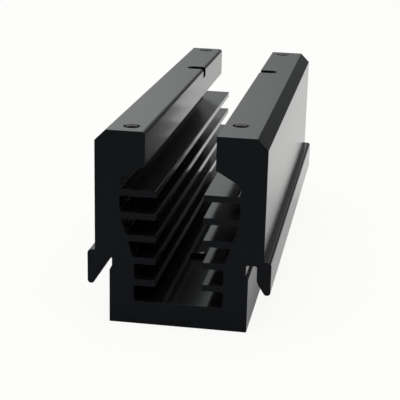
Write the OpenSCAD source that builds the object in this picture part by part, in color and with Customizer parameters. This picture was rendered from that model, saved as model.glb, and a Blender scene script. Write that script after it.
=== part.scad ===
// Extruded aluminium heat sink: a deep channel with finned inner walls, two heavy heads and a clip hook
// along each side. It is one extrusion, cut to length, then drilled, tapped and slotted.
// Millimetres. X runs across the section, Y along the extrusion and Z up.
// The origin is the middle of the underside. The front end is at -Y and the right-hand side is at +X.

/* [Extrusion] */
// Length along the extrusion
length = 150; // [110:1:400]
// Height from the underside to the top of the heads
height = 60; // [48:0.5:90]
// Width across the two outer walls
body_w = 51.2; // [46:0.2:64]
// Step in from each outer wall to the foot, below the hooks
foot_inset = 4.5; // [4:0.1:5.2]
// Thickness of the walls, measured level
wall_t = 7.5; // [6:0.1:8.5]
// Thickness of the floor
floor_t = 7.3; // [5:0.1:8]
// Radius broken onto the plain corners of the section
edge_r = 0.2; // [0.1:0.05:0.4]

/* [Heads] */
// Gap between the two heads
head_gap = 21; // [16:0.2:24]
// Height of each head's inner face
head_face_h = 10.1; // [7:0.1:10.5]
// Leg of the chamfer along each head's outer edge
head_chamfer = 3.3; // [1:0.1:4]
// Slope of each head's underside, from level
head_slope = 30; // [20:1:31]
// Radius along the left head's upper inner edge
left_nose_r = 1.2; // [0.2:0.1:2]
// Radius where a head's underside runs into the wall
throat_r = 1.6; // [0.5:0.1:2]

/* [Fins] */
// Thickness of a fin
fin_t = 2; // [1.4:0.1:3]
// Clear height between two fins
fin_gap = 5; // [4:0.1:8]
// Least clear height between the top fin and the throat of the head above it
fin_clear = 2.5; // [2:0.1:5]
// Gap between the tips of the left and right fins
channel_w = 14.2; // [10:0.2:17]
// Radius at the lower root of each pocket
root_r = 1; // [0.3:0.1:1.3]
// Radius at the upper root of each pocket
root_top_r = 0.5; // [0.2:0.1:0.8]

/* [Hooks] */
// Reach of each hook past the outer wall
hook_reach = 2.3; // [1.6:0.1:3.5]
// Height of the hooks' upper faces above the underside
hook_top = 22.8; // [22:0.1:24]
// Radius along each hook's upper outer edge
hook_crown_r = 1.2; // [0.5:0.1:1.4]
// Radius where each hook's upper face meets the outer wall
hook_heel_r = 0.3; // [0.2:0.1:0.8]
// Length of the left hook, from its upper face to its tip
left_hook_l = 10.8; // [9:0.1:12]
// Length of the right hook, from its upper face to its tip
right_hook_l = 10.4; // [9:0.1:12]
// Width of each hook across its tip
tip_w = 1.7; // [1.6:0.1:2.2]
// Radius on the outer corner of each tip
tip_outer_r = 1; // [0.3:0.1:1]
// Radius on the inner corner of each tip
tip_inner_r = 1; // [0.3:0.1:1.2]
// Thickness of the right hook beside the head of its groove
right_hook_w = 4.3; // [3.5:0.05:4.5]

/* [Clip grooves] */
// Depth of the undercut in the foot behind each hook
undercut = 0.75; // [0.5:0.05:1.6]
// Drop from the hooks' upper faces to the full depth of the undercut
undercut_drop = 4.5; // [3.5:0.1:5.2]
// Drop over which the undercut runs out into the foot
undercut_run = 1.5; // [0.8:0.1:3]
// Drop from the left hook's upper face to the head of its groove, which closes to a point
left_root_t = 1.5; // [0.8:0.1:1.8]
// Radius at the head of the left groove
left_groove_r = 0.25; // [0.15:0.05:0.5]
// Drop from the right hook's upper face to the head of its groove, which is flat
right_root_t = 1.4; // [0.8:0.1:1.8]
// Height of the right hook's upright inner face, from the head of its groove to the lead-in
right_cheek_h = 5; // [4:0.1:6]
// Radius at the head of the right groove
right_groove_r = 0.6; // [0.2:0.1:0.8]
// Radius where the right hook's upright inner face runs into the lead-in
right_lead_r = 4; // [0.5:0.5:5]

/* [Tapped holes] */
// Bore of the holes in the heads, tapped M5
tap_bore_d = 4.2; // [3:0.1:4.6]
// Diameter across the countersink at each tapped hole
tap_sink_d = 5.3; // [4.8:0.1:6]
// Depth of the full bore below the head
tap_depth = 9; // [5:0.5:9]
// Left front hole, from the mid-plane
left_front_x = 15.8; // [14.5:0.1:18]
// Left front hole, from the front end
left_front_y = 6.4; // [4:0.1:40]
// Right front hole, from the mid-plane
right_front_x = 15.5; // [14.5:0.1:18]
// Right front hole, from the front end
right_front_y = 15.4; // [4:0.1:40]
// Left rear hole, from the mid-plane
left_rear_x = 16.4; // [14.5:0.1:18]
// Left rear hole, from the rear end
left_rear_y = 4.2; // [4:0.1:30]
// Right rear hole, from the mid-plane
right_rear_x = 15.3; // [14.5:0.1:18]
// Right rear hole, from the rear end
right_rear_y = 4.8; // [4:0.1:30]

/* [Notches and floor hole] */
// Width of the round-ended notch across each head
notch_w = 5; // [3:0.1:8]
// Depth of the notches below the top
notch_depth = 3.4; // [2:0.1:6]
// Length of the notches from each head's inner face
notch_l = 6.4; // [5.5:0.1:8]
// Middle of the notches, from the rear end
notch_y = 44.5; // [40:0.5:60]
// Diameter of the hole through the floor
floor_hole_d = 8; // [3:0.1:12]
// Floor hole, from the front end
floor_hole_y = 43.8; // [10:0.2:80]
// Chamfer at each end of the floor hole
floor_hole_chamfer = 0.4; // [0.2:0.1:1]

/* [Hidden] */
$fn = 96;
// Drill point left at the foot of each blind hole, as a cone
drill_point = 118;
// Overrun of a cutter past the face that it breaks through
past = 1;
// Overlap of each arc past the sides that it blends, which keeps slivers out of the solid
lap = 0.0002;
// Fins, counted from the floor, between which the inner wall leans out
lean_from_fin = 2;
lean_to_fin = 4;
right = 1;
left = -1;
front_y = -length / 2;
rear_y = length / 2;

outer_x = body_w / 2;
foot_x = outer_x - foot_inset;
nose_x = head_gap / 2;
tip_x = channel_w / 2;
hook_x = outer_x + hook_reach;
undercut_x = foot_x - undercut;
cheek_x = hook_x - right_hook_w;
undercut_z = hook_top - undercut_drop;
nose_z = height - head_face_h;

// The inner wall is upright at two widths and leans out between them, so that the wall keeps its
// thickness where the grooves cut in from outside.
upper_x = outer_x - wall_t;
lower_x = foot_x - wall_t;
throat_z = nose_z - (upper_x - nose_x) * tan(head_slope);
fin_pitch = fin_t + fin_gap;
fin_count = floor((throat_z - fin_clear - floor_t) / fin_pitch);
lean_low_z = fin_top(lean_from_fin) - fin_t / 2;
lean_high_z = fin_top(lean_to_fin) - fin_t / 2;

// Top face of the fin that is number n from the floor
function fin_top(n) = floor_t + n * fin_pitch;

// Distance of the inner wall from the mid-plane at height z
function wall_x(z) =
    let (lean = (z - lean_low_z) / (lean_high_z - lean_low_z))
    lower_x + (upper_x - lower_x) * min(1, max(0, lean));

// A corner of the section is [across, up, radius]. Each list below runs anticlockwise round the right-hand half.

// The four corners of one fin, from the pocket above it round the tip to the pocket below it
function fin_corners(n) =
    let (top = fin_top(n), under = top - fin_t)
    [
        [wall_x(top), top, root_r],
        [tip_x, top, edge_r],
        [tip_x, under, edge_r],
        [wall_x(under), under, root_top_r]
    ];

function fins_from_top() = [for (n = [fin_count:-1:1]) each fin_corners(n)];

// The left groove narrows from the tip up to a point at the undercut.
function left_groove() = [
    [undercut_x, hook_top - left_root_t, left_groove_r]
];

// The right groove has a flat head, whose outer side drops to the lead-in.
function right_groove() =
    let (head_z = hook_top - right_root_t)
    [
        [undercut_x, head_z, right_groove_r],
        [cheek_x, head_z, right_groove_r],
        [cheek_x, head_z - right_cheek_h, right_lead_r]
    ];

function side_corners(groove, tip_z, nose_r) = [
    [foot_x, 0, edge_r],
    [foot_x, undercut_z - undercut_run, edge_r],
    [undercut_x, undercut_z, edge_r],
    each groove,
    [hook_x - tip_w, tip_z, tip_inner_r],
    [hook_x, tip_z, tip_outer_r],
    [hook_x, hook_top, hook_crown_r],
    [outer_x, hook_top, hook_heel_r],
    [outer_x, height - head_chamfer, edge_r],
    [outer_x - head_chamfer, height, edge_r],
    [nose_x, height, nose_r],
    [nose_x, nose_z, edge_r],
    [upper_x, throat_z, throat_r],
    each fins_from_top(),
    [lower_x, floor_t, root_r]
];

// The same corners on the other side, in the order that keeps the outline running anticlockwise
function mirrored(corners) =
    [for (i = [len(corners) - 1:-1:0]) [-corners[i].x, corners[i].y, corners[i][2]]];

function unit(v) = v / norm(v);
function point(corner) = [corner.x, corner.y];

// The part of a corner that lies outside its arc. Its own apex stands off the outline, so that only the
// arc crosses the corner's sides.
module corner_web(before, corner, after) {
    apex = point(corner);
    radius = corner[2];
    to_before = unit(point(before) - apex);
    to_after = unit(point(after) - apex);
    half_angle = acos(to_before * to_after) / 2;
    run = radius / tan(half_angle);
    inward = unit(to_before + to_after);
    difference() {
        polygon([apex - inward * radius / 2, apex + to_before * run, apex + to_after * run]);
        translate(apex + inward * radius / sin(half_angle)) circle(r = radius + lap);
    }
}

// A polygon with a true arc at every corner: the web of an outward corner is cut away, and the web
// of an inward corner is filled in.
module rounded_outline(corners) {
    count = len(corners);
    before = [for (i = [0:count - 1]) corners[(i + count - 1) % count]];
    after = [for (i = [0:count - 1]) corners[(i + 1) % count]];
    turns = [
        for (i = [0:count - 1])
            cross(point(corners[i]) - point(before[i]), point(after[i]) - point(corners[i]))
    ];
    difference() {
        union() {
            polygon([for (corner = corners) point(corner)]);
            for (i = [0:count - 1]) {
                if (turns[i] < 0) corner_web(before[i], corners[i], after[i]);
            }
        }
        for (i = [0:count - 1]) {
            if (turns[i] > 0) corner_web(before[i], corners[i], after[i]);
        }
    }
}

module section() {
    right_side = side_corners(right_groove(), hook_top - right_hook_l, edge_r);
    left_side = side_corners(left_groove(), hook_top - left_hook_l, left_nose_r);
    rounded_outline(concat(right_side, mirrored(left_side)));
}

module extrusion() {
    translate([0, rear_y, 0]) rotate([90, 0, 0]) linear_extrude(length) section();
}

// Cutter for a tapped hole: drill point, bore and countersink, with its mouth at the origin
module tapped_hole() {
    bore_r = tap_bore_d / 2;
    sink_r = tap_sink_d / 2;
    rotate_extrude() polygon([
        [0, -tap_depth - bore_r / tan(drill_point / 2)],
        [bore_r, -tap_depth],
        [bore_r, bore_r - sink_r],
        [sink_r + past, past],
        [0, past]
    ]);
}

module head_holes() {
    translate([left * left_front_x, front_y + left_front_y, height]) tapped_hole();
    translate([right * right_front_x, front_y + right_front_y, height]) tapped_hole();
    translate([left * left_rear_x, rear_y - left_rear_y, height]) tapped_hole();
    translate([right * right_rear_x, rear_y - right_rear_y, height]) tapped_hole();
}

// Cutter for the round-ended notch that runs from one head's inner face towards its outer wall
module notch(side) {
    end_x = nose_x + notch_l - notch_w / 2;
    translate([0, rear_y - notch_y, height - notch_depth]) {
        translate([side * end_x, 0, 0]) cylinder(d = notch_w, h = notch_depth + past);
        translate([side > 0 ? 0 : -end_x, -notch_w / 2, 0]) cube([end_x, notch_w, notch_depth + past]);
    }
}

// Cutter for the hole through the floor, chamfered at both ends
module floor_hole() {
    bore_r = floor_hole_d / 2;
    mouth_r = bore_r + floor_hole_chamfer + past;
    translate([0, front_y + floor_hole_y, 0]) rotate_extrude() polygon([
        [0, -past],
        [mouth_r, -past],
        [bore_r, floor_hole_chamfer],
        [bore_r, floor_t - floor_hole_chamfer],
        [mouth_r, floor_t + past],
        [0, floor_t + past]
    ]);
}

module heat_sink() {
    color([0.09, 0.09, 0.1]) difference() {
        extrusion();
        head_holes();
        notch(left);
        notch(right);
        floor_hole();
    }
}

heat_sink();
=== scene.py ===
"""Extruded heat sink, dressed in satin black anodising and set in a plain pale studio.

Lengths are in metres in the row frame: the origin is the middle of the underside, +Y runs along the
extrusion to its rear end and +Z is up.
"""

import logging
import math
from dataclasses import dataclass
from enum import Enum
from typing import Any, List, Mapping, Optional, Sequence, Tuple, Union

import bpy
from mathutils import Matrix, Vector


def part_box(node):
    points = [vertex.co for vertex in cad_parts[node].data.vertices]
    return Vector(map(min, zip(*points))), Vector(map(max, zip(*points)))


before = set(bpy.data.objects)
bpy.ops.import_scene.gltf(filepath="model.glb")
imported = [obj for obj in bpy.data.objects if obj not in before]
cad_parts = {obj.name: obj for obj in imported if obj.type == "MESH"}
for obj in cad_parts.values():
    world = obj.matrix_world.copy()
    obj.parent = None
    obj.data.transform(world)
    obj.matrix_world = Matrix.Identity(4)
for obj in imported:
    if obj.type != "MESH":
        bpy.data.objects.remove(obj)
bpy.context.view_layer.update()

log = logging.getLogger("heat_sink")

MM = 0.001
NODE = "heat_sink"

Colour = Tuple[float, float, float, float]
Point = Tuple[float, float, float]
Span = Tuple[float, float]

PAPER_WHITE: Colour = (0.985, 0.985, 0.968, 1.0)
ROOM_WHITE: Colour = (1.0, 1.0, 1.0, 1.0)


class MathStep(Enum):
    """Operations of a Math node that the shader expressions use."""

    ADD = "ADD"
    SUBTRACT = "SUBTRACT"
    MULTIPLY = "MULTIPLY"
    DIVIDE = "DIVIDE"
    ABSOLUTE = "ABSOLUTE"
    MAXIMUM = "MAXIMUM"
    MINIMUM = "MINIMUM"


class Wire:
    """A number that flows out of a shader node, with the operators of ordinary arithmetic."""

    def __init__(self, graph: "Graph", socket: bpy.types.NodeSocket) -> None:
        """Keeps the graph and the output socket.

        Args:
            graph: The node graph that the socket belongs to.
            socket: The output socket.
        """
        self.graph = graph
        self.socket = socket

    def step(self, operation: MathStep, *values: "Number") -> "Wire":
        """Adds one Math node.

        Args:
            operation: What the node does.
            values: Its inputs, in order.

        Returns:
            The node's result.
        """
        return self.graph.add("ShaderNodeMath", {"operation": operation.value}, dict(enumerate(values)))

    def __add__(self, other: "Number") -> "Wire":
        """Returns self + other."""
        return self.step(MathStep.ADD, self, other)

    def __radd__(self, other: "Number") -> "Wire":
        """Returns other + self."""
        return self.step(MathStep.ADD, other, self)

    def __sub__(self, other: "Number") -> "Wire":
        """Returns self - other."""
        return self.step(MathStep.SUBTRACT, self, other)

    def __rsub__(self, other: "Number") -> "Wire":
        """Returns other - self."""
        return self.step(MathStep.SUBTRACT, other, self)

    def __mul__(self, other: "Number") -> "Wire":
        """Returns self * other."""
        return self.step(MathStep.MULTIPLY, self, other)

    def __rmul__(self, other: "Number") -> "Wire":
        """Returns other * self."""
        return self.step(MathStep.MULTIPLY, other, self)

    def __truediv__(self, other: "Number") -> "Wire":
        """Returns self / other."""
        return self.step(MathStep.DIVIDE, self, other)

    def __rtruediv__(self, other: "Number") -> "Wire":
        """Returns other / self."""
        return self.step(MathStep.DIVIDE, other, self)

    def __abs__(self) -> "Wire":
        """Returns the size of self without its sign."""
        return self.step(MathStep.ABSOLUTE, self)

    def at_least(self, other: "Number") -> "Wire":
        """Returns the larger of self and other."""
        return self.step(MathStep.MAXIMUM, self, other)

    def at_most(self, other: "Number") -> "Wire":
        """Returns the smaller of self and other."""
        return self.step(MathStep.MINIMUM, self, other)

    def share(self, low: float, high: float) -> "Wire":
        """Rises evenly from 0 where self is low to 1 where self is high, and stays there.

        Args:
            low: Value at which the result is 0.
            high: Value at which the result is 1.

        Returns:
            The share, from 0 to 1.
        """
        return ((self - low) / (high - low)).at_least(0.0).at_most(1.0)

    def ramp(self, low: float, high: float) -> "Wire":
        """Rises smoothly from 0 where self is low to 1 where self is high.

        Args:
            low: Value at which the result is 0.
            high: Value at which the result is 1.

        Returns:
            The smoothed share, from 0 to 1.
        """
        settings = {"interpolation_type": "SMOOTHSTEP"}
        inputs = {"Value": self, "From Min": low, "From Max": high}
        return self.graph.add("ShaderNodeMapRange", settings, inputs)


Number = Union[float, Wire]
Value = Union[float, Sequence[float], Wire]


class Graph:
    """A shader node tree that is built from expressions."""

    def __init__(self, tree: bpy.types.NodeTree) -> None:
        """Empties the tree and keeps it.

        Args:
            tree: The node tree of a material or of the world.
        """
        self.tree = tree
        tree.nodes.clear()

    def node(
        self,
        kind: str,
        settings: Optional[Mapping[str, Any]] = None,
        inputs: Optional[Mapping[Union[str, int], Value]] = None,
    ) -> bpy.types.Node:
        """Makes one node. Its settings come first, because they can change which sockets it has.

        Args:
            kind: The node's type.
            settings: Its properties by name.
            inputs: Its sockets by name or index, each a value or a Wire.

        Returns:
            The node.
        """
        made = self.tree.nodes.new(kind)
        for name, value in (settings or {}).items():
            setattr(made, name, value)
        for name, value in (inputs or {}).items():
            if isinstance(value, Wire):
                self.tree.links.new(value.socket, made.inputs[name])
            else:
                made.inputs[name].default_value = value
        return made

    def add(
        self,
        kind: str,
        settings: Optional[Mapping[str, Any]] = None,
        inputs: Optional[Mapping[Union[str, int], Value]] = None,
        output: Union[str, int] = 0,
    ) -> Wire:
        """Makes one node and returns one of its outputs.

        Args:
            kind: The node's type.
            settings: Its properties by name.
            inputs: Its sockets by name or index.
            output: The output's name or index.

        Returns:
            The output, ready for arithmetic.
        """
        return Wire(self, self.node(kind, settings, inputs).outputs[output])

    def surface(self, shader: Wire) -> None:
        """Ends a material's graph.

        Args:
            shader: The finished shader.
        """
        self.node("ShaderNodeOutputMaterial", inputs={"Surface": shader})

    def place(self) -> Wire:
        """Returns the shaded point in the row frame, in metres, as a vector."""
        return self.add("ShaderNodeTexCoord", output="Object")

    def facing(self) -> Wire:
        """Returns the surface's own direction in the row frame, as a vector."""
        return self.add("ShaderNodeTexCoord", output="Normal")

    def split(self, vector: Wire) -> Tuple[Wire, Wire, Wire]:
        """Splits a vector.

        Args:
            vector: The vector.

        Returns:
            Its x, y and z.
        """
        made = self.node("ShaderNodeSeparateXYZ", inputs={0: vector})
        return Wire(self, made.outputs[0]), Wire(self, made.outputs[1]), Wire(self, made.outputs[2])

    def noise(self, vector: Wire, stretch: Point, detail: float = 2.0) -> Wire:
        """Adds a noise texture.

        Args:
            vector: Where to read it.
            stretch: Features per metre along each axis.
            detail: Octaves of finer noise.

        Returns:
            The noise, about 0.5 in the mean.
        """
        place = self.add("ShaderNodeVectorMath", {"operation": "MULTIPLY"}, {0: vector, 1: stretch})
        return self.add("ShaderNodeTexNoise", inputs={"Vector": place, "Scale": 1.0, "Detail": detail})

    def seen_plainly(self) -> Tuple[Wire, Wire]:
        """Returns 1 on camera and transmission rays, and 1 on glossy rays."""
        ray = self.node("ShaderNodeLightPath")
        seen = Wire(self, ray.outputs["Is Camera Ray"]) + Wire(self, ray.outputs["Is Transmission Ray"])
        return seen, Wire(self, ray.outputs["Is Glossy Ray"])

    def blend(self, share: Wire, first: Colour, second: Colour) -> Wire:
        """Mixes two colours.

        Args:
            share: 0 gives the first colour and 1 the second.
            first: The first colour.
            second: The second colour.

        Returns:
            The mixed colour.
        """
        inputs = {"Factor": share, 6: first, 7: second}
        return self.add("ShaderNodeMix", {"data_type": "RGBA"}, inputs, output=2)


def new_material(name: str) -> Tuple[bpy.types.Material, Graph]:
    """Makes an empty material.

    Args:
        name: Its name.

    Returns:
        The material and its graph.
    """
    material = bpy.data.materials.new(name)
    material.use_nodes = True
    return material, Graph(material.node_tree)


@dataclass(frozen=True)
class AnodisedFinish:
    """Satin black anodising: smooth along the die lines, duller on the sawn ends."""

    name: str = "satin_black_anodising"
    colour: Colour = (0.0036, 0.0038, 0.0044, 1.0)
    faded: Colour = (0.0050, 0.0052, 0.0060, 1.0)
    sawn_colour: Colour = (0.0060, 0.0075, 0.0105, 1.0)
    gloss_roughness: float = 0.17
    roughness_drift: float = 0.04
    oxide_ior: float = 1.5
    sawn_roughness: float = 0.55
    sawn_specular: float = 0.07
    edge_break: float = 0.15 * MM
    cloud_stretch: Point = (40.0, 14.0, 40.0)
    cloud_detail: float = 3.0
    cloud_span: Span = (0.35, 0.75)
    die_line_stretch: Point = (9000.0, 9.0, 9000.0)
    die_line_roughness: float = 0.03
    die_line_height: float = 0.0001 * MM
    saw_centre: Span = (-0.16, -0.09)
    saw_marks_per_metre: float = 2600.0
    saw_mark_detail: float = 3.0
    saw_mark_span: Span = (0.3, 0.7)
    saw_mark_roughness: float = 0.12
    saw_mark_height: float = 0.004 * MM
    saw_mark_strength: float = 0.5
    end_facing: Span = (0.9, 0.98)
    end_depth: Span = (0.3 * MM, 0.1 * MM)

    def build(self, end_y: float) -> bpy.types.Material:
        """Builds the material.

        Args:
            end_y: Distance of the sawn ends from the middle of the length.

        Returns:
            The material.
        """
        material, graph = new_material(self.name)
        place = graph.place()
        x, y, z = graph.split(place)
        _, along, _ = graph.split(graph.facing())
        outer = abs(y).ramp(end_y - self.end_depth[0], end_y - self.end_depth[1])
        sawn = abs(along).ramp(*self.end_facing) * outer
        rounded = graph.add("ShaderNodeBevel", {"samples": 6}, {"Radius": self.edge_break})
        cloud = graph.noise(place, self.cloud_stretch, self.cloud_detail)
        lines = graph.noise(place, self.die_line_stretch)
        colour = graph.blend(cloud.ramp(*self.cloud_span), self.colour, self.faded)
        drawn = self._drawn(graph, rounded, cloud, lines, colour)
        cut = self._sawn(graph, rounded, x, z)
        graph.surface(graph.add("ShaderNodeMixShader", inputs={0: sawn, 1: drawn, 2: cut}))
        return material

    def _drawn(self, graph: Graph, rounded: Wire, cloud: Wire, lines: Wire, colour: Wire) -> Wire:
        """Shades the faces that came out of the die.

        Args:
            graph: The material's graph.
            rounded: The surface's direction, with its edges broken.
            cloud: Slow variation over the part.
            lines: Die lines along the extrusion.
            colour: The dye's colour.

        Returns:
            The shader.
        """
        bump = self._relief(graph, lines, self.die_line_height, 1.0, rounded)
        drift = (cloud - 0.5) * self.roughness_drift
        roughness = self.gloss_roughness + drift + (lines - 0.5) * self.die_line_roughness
        return graph.add(
            "ShaderNodeBsdfPrincipled",
            inputs={"Base Color": colour, "Roughness": roughness, "IOR": self.oxide_ior, "Normal": bump},
        )

    def _sawn(self, graph: Graph, rounded: Wire, x: Wire, z: Wire) -> Wire:
        """Shades the two ends that the saw left.

        Args:
            graph: The material's graph.
            rounded: The surface's direction, with its edges broken.
            x: Distance across the section.
            z: Height.

        Returns:
            The shader.
        """
        across, up = self.saw_centre
        swept = graph.add("ShaderNodeCombineXYZ", inputs={0: x - across, 1: z - up, 2: 0.0})
        reach = graph.add("ShaderNodeVectorMath", {"operation": "LENGTH"}, {0: swept}, output="Value")
        marks = graph.add(
            "ShaderNodeTexNoise",
            {"noise_dimensions": "1D"},
            {"W": reach * self.saw_marks_per_metre, "Scale": 1.0, "Detail": self.saw_mark_detail},
        )
        bump = self._relief(graph, marks, self.saw_mark_height, self.saw_mark_strength, rounded)
        roughness = self.sawn_roughness + (marks - 0.5) * self.saw_mark_roughness
        colour = graph.blend(marks.ramp(*self.saw_mark_span), self.colour, self.sawn_colour)
        return graph.add(
            "ShaderNodeBsdfPrincipled",
            inputs={
                "Base Color": colour,
                "Roughness": roughness,
                "IOR": self.oxide_ior,
                "Specular IOR Level": self.sawn_specular,
                "Normal": bump,
            },
        )

    @staticmethod
    def _relief(graph: Graph, height: Wire, depth: float, strength: float, rounded: Wire) -> Wire:
        """Turns a height into a bump.

        Args:
            graph: The material's graph.
            height: The height, from 0 to 1.
            depth: Its full range, in metres.
            strength: How much of the bump shows.
            rounded: The surface's direction, with its edges broken.

        Returns:
            The bumped direction.
        """
        inputs = {"Strength": strength, "Distance": depth, "Height": height, "Normal": rounded}
        return graph.add("ShaderNodeBump", inputs=inputs)


@dataclass(frozen=True)
class FloorFinish:
    """Pale paper that shows as an even white ground and still takes the part's shadow."""

    name: str = "pale_floor"
    colour: Colour = (0.86, 0.86, 0.85, 1.0)
    speck: Colour = (0.8342, 0.8342, 0.8245, 1.0)
    grain_stretch: Point = (900.0, 900.0, 900.0)
    grain_detail: float = 3.0
    even_share: float = 0.93
    mirrored_share: float = 0.15

    def build(self) -> bpy.types.Material:
        """Builds the material.

        Returns:
            The material.
        """
        material, graph = new_material(self.name)
        grain = graph.noise(graph.place(), self.grain_stretch, self.grain_detail)
        tone = graph.blend(grain, self.colour, self.speck)
        paper = graph.add("ShaderNodeBsdfDiffuse", inputs={"Color": tone})
        white = graph.add("ShaderNodeEmission", inputs={"Color": PAPER_WHITE, "Strength": 1.0})
        seen, mirrored = graph.seen_plainly()
        share = seen * self.even_share + mirrored * self.mirrored_share
        graph.surface(graph.add("ShaderNodeMixShader", inputs={0: share, 1: paper, 2: white}))
        return material


@dataclass
class HeatSink:
    """The extrusion itself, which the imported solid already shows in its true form."""

    finish: AnodisedFinish

    def dress(self, node: bpy.types.Object) -> bpy.types.Object:
        """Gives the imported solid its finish.

        Args:
            node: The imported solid.

        Returns:
            The same object.
        """
        _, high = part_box(NODE)
        node.material_slots[0].material = self.finish.build(high.y)
        return node


@dataclass(frozen=True)
class Softbox:
    """A flat, evenly lit panel."""

    name: str
    position: Point
    aim: Point
    width: float
    height: float
    radiance: float

    def build(self) -> bpy.types.Object:
        """Adds the panel.

        Returns:
            The light.
        """
        data = bpy.data.lights.new(self.name, "AREA")
        data.shape = "RECTANGLE"
        data.size = self.width
        data.size_y = self.height
        data.energy = self.radiance * math.pi * self.width * self.height
        panel = bpy.data.objects.new(self.name, data)
        bpy.context.scene.collection.objects.link(panel)
        reach = Vector(self.aim) - Vector(self.position)
        turn = reach.to_track_quat("-Z", "Y").to_matrix().to_4x4()
        panel.matrix_world = Matrix.Translation(self.position) @ turn
        panel.visible_camera = False
        return panel


@dataclass(frozen=True)
class Sweep:
    """A tall pale backdrop that glows and is hidden from the camera: its fall-off of light towards the
    floor and towards its right side is painted into the glow.
    """

    name: str = "sweep"
    distance: float = 1.4
    left: float = -1.8
    right: float = 0.4
    low: float = 0.08
    high: float = 1.5
    full_height: float = 0.43
    fade_span: Span = (-0.35, 0.4)
    bright: float = 0.8
    dim: float = 0.085
    tint: Colour = (0.955, 1.0, 0.985, 1.0)

    def build(self) -> bpy.types.Object:
        """Adds the backdrop.

        Returns:
            The backdrop.
        """
        mesh = bpy.data.meshes.new(self.name)
        corners = [
            (self.left, self.distance, self.low),
            (self.right, self.distance, self.low),
            (self.right, self.distance, self.high),
            (self.left, self.distance, self.high),
        ]
        mesh.from_pydata(corners, [], [(0, 1, 2, 3)])
        mesh.materials.append(self._painted_glow())
        sheet = bpy.data.objects.new(self.name, mesh)
        bpy.context.scene.collection.objects.link(sheet)
        sheet.visible_camera = False
        return sheet

    def _painted_glow(self) -> bpy.types.Material:
        """Builds the backdrop's glow, with its fall-off of light towards the floor and its right side
        painted in.

        Returns:
            The material.
        """
        material, graph = new_material(self.name)
        x, _, z = graph.split(graph.place())
        rise = z.share(self.low, self.full_height)
        fade = x.share(*self.fade_span)
        dark = graph.add("ShaderNodeEmission", inputs={"Color": self.tint, "Strength": self.dim})
        lit = graph.add("ShaderNodeEmission", inputs={"Color": self.tint, "Strength": self.bright})
        # Painted fall-off of light: the glow fades towards the floor and towards the right side, standing
        # in for light from above.
        level = rise * (1.0 - fade)
        graph.surface(graph.add("ShaderNodeMixShader", inputs={0: level, 1: dark, 2: lit}))
        return material


@dataclass(frozen=True)
class Camera:
    """The viewpoint: where it stands, where it looks and how long its lens is."""

    position: Point = (0.05681, -0.38844, 0.13768)
    heading: float = 7.894
    pitch: float = -18.158
    roll: float = 1.789
    lens: float = 102.23
    sensor: float = 36.0
    shift: Span = (-0.06, 0.06)
    nearest: float = 0.01
    farthest: float = 50.0

    def build(self) -> bpy.types.Object:
        """Adds the camera and makes it the scene's own.

        Returns:
            The camera.
        """
        data = bpy.data.cameras.new("camera")
        data.lens = self.lens
        data.sensor_width = self.sensor
        data.shift_x, data.shift_y = self.shift
        data.clip_start = self.nearest
        data.clip_end = self.farthest
        camera = bpy.data.objects.new("camera", data)
        bpy.context.scene.collection.objects.link(camera)
        turn = Matrix.Rotation(math.radians(self.heading), 4, "Z")
        nod = Matrix.Rotation(math.radians(90.0 + self.pitch), 4, "X")
        spin = Matrix.Rotation(math.radians(self.roll), 4, "Z")
        camera.matrix_world = Matrix.Translation(self.position) @ turn @ nod @ spin
        bpy.context.scene.camera = camera
        return camera


@dataclass(frozen=True)
class Studio:
    """A pale floor under soft lamps, in an otherwise dim room."""

    floor: FloorFinish
    sweep: Sweep
    lamps: Tuple[Softbox, ...]
    floor_half: float = 4.0
    floor_z: float = -0.05 * MM
    room_level: float = 0.085

    def build(self) -> List[bpy.types.Object]:
        """Adds the floor, the lamps and the room.

        Returns:
            The floor, the backdrop and the lamps.
        """
        self._room()
        return [self._floor(), self.sweep.build()] + [lamp.build() for lamp in self.lamps]

    def _floor(self) -> bpy.types.Object:
        """Adds the floor.

        Returns:
            The floor.
        """
        half = self.floor_half
        mesh = bpy.data.meshes.new("floor")
        corners = [(-half, -half, 0.0), (half, -half, 0.0), (half, half, 0.0), (-half, half, 0.0)]
        mesh.from_pydata(corners, [], [(0, 1, 2, 3)])
        mesh.materials.append(self.floor.build())
        floor = bpy.data.objects.new("floor", mesh)
        floor.location.z = self.floor_z
        bpy.context.scene.collection.objects.link(floor)
        return floor

    def _room(self) -> None:
        """Sets the room's light: an even, dim level that the camera sees as white."""
        world = bpy.data.worlds.new("room")
        world.use_nodes = True
        bpy.context.scene.world = world
        graph = Graph(world.node_tree)
        seen, _ = graph.seen_plainly()
        dim = graph.add("ShaderNodeBackground", inputs={"Color": ROOM_WHITE, "Strength": self.room_level})
        pale = graph.add("ShaderNodeBackground", inputs={"Color": PAPER_WHITE, "Strength": 1.0})
        mixed = graph.add("ShaderNodeMixShader", inputs={0: seen, 1: dim, 2: pale})
        graph.node("ShaderNodeOutputWorld", inputs={"Surface": mixed})


LAMPS = (
    Softbox("top_panel", (0.0, -0.1, 1.3), (0.0, 0.0, 0.0), 2.4, 2.4, 2.0),
)


def main() -> None:
    """Builds the camera, the studio and the part, and reports each piece."""
    logging.basicConfig(level=logging.INFO, format="%(name)s: %(message)s")
    scene = bpy.context.scene
    scene.view_settings.view_transform = "Standard"
    Camera().build()
    for piece in Studio(FloorFinish(), Sweep(), LAMPS).build():
        log.info("stage: %s", piece.name)
    part = HeatSink(AnodisedFinish()).dress(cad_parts[NODE])
    log.info("piece: %s", part.name)


if __name__ == "__main__":
    main()
